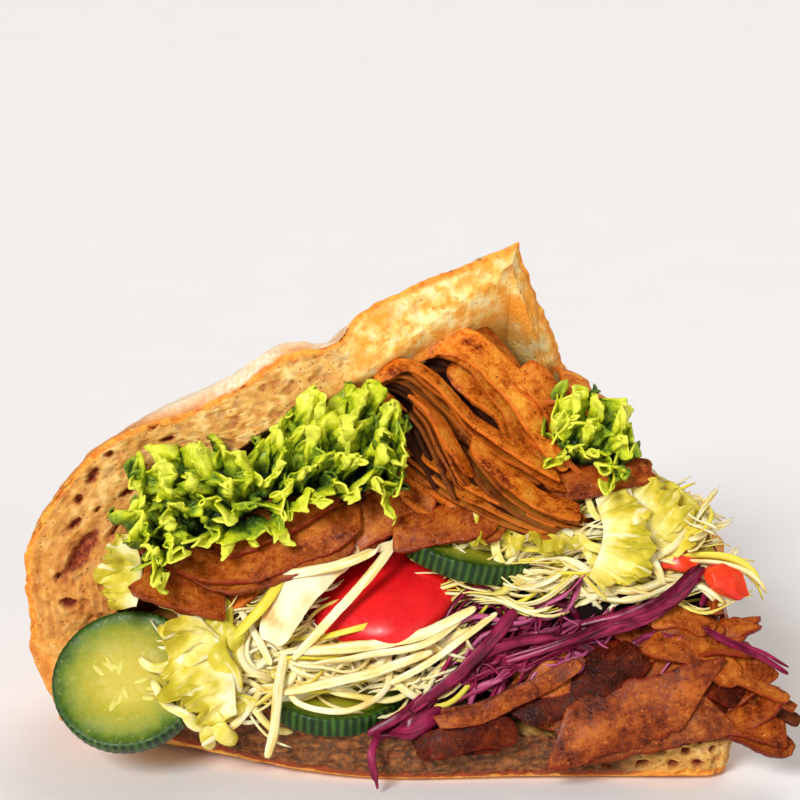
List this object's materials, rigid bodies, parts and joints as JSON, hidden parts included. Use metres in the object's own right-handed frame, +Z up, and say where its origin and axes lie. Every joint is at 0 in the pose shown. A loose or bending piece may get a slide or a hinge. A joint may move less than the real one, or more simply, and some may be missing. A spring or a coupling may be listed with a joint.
{
  "type": "doner kebab sandwich",
  "caption": "Wedge of slit flatbread lying on its lower leaf, packed with carved meat, lettuce, shredded cabbage, cucumber and tomato.",
  "frame": {"origin": "on the table under the middle of the box round the whole sandwich", "axes": "+X to the right along the cut front, +Y back towards the round heel of the bread, +Z up"},
  "size_m": [0.22, 0.1328, 0.145],
  "materials": {
    "bread": "matt crumb with a floury golden crust",
    "carved_meat": "satin, browned and peppered, slightly greasy",
    "green_lettuce": "moist satin leaf",
    "pale_lettuce": "moist satin leaf",
    "cucumber": "wet flesh with dark green peel",
    "tomato": "wet glossy skin",
    "white_cabbage": "moist satin shreds",
    "red_cabbage": "moist satin shreds"
  },
  "bodies": {
    "root": {"flatbread": "bread", "cucumber_slice_left": "cucumber", "cucumber_slice_low": "cucumber", "cucumber_slice_middle": "cucumber", "tomato_cap": "tomato", "tomato_piece_1": "tomato", "tomato_piece_2": "tomato", "kebab_slice_left_top": "carved_meat", "kebab_slice_left_middle": "carved_meat", "kebab_slice_left_low": "carved_meat", "kebab_slice_centre": "carved_meat", "kebab_slice_flat": "carved_meat", "kebab_slice_right_flat": "carved_meat", "kebab_strip_outer_arc": "carved_meat", "kebab_strip_folded": "carved_meat", "kebab_strip_upright": "carved_meat", "kebab_strip_inner": "carved_meat", "kebab_strip_wide": "carved_meat", "kebab_strip_lower": "carved_meat", "kebab_slice_bottom_large": "carved_meat", "kebab_slice_bottom_dark": "carved_meat", "kebab_slice_bottom_back": "carved_meat", "kebab_strip_right": "carved_meat", "kebab_slice_right_low": "carved_meat", "kebab_slice_front_low": "carved_meat", "kebab_strip_thin": "carved_meat", "kebab_slice_right_back": "carved_meat", "kebab_piece_under_pepper": "carved_meat", "frilly_lettuce_left": "green_lettuce", "frilly_lettuce_right": "green_lettuce", "pale_leaf_left": "pale_lettuce", "iceberg_leaf_left": "pale_lettuce", "iceberg_leaf_middle": "pale_lettuce", "iceberg_fold_right": "pale_lettuce", "iceberg_leaf_right": "pale_lettuce", "white_cabbage_rib": "white_cabbage", "red_cabbage": "red_cabbage", "white_cabbage": "white_cabbage", "kebab_meat_bottom": "carved_meat", "kebab_meat_top": "carved_meat"}
  },
  "joints": []
}
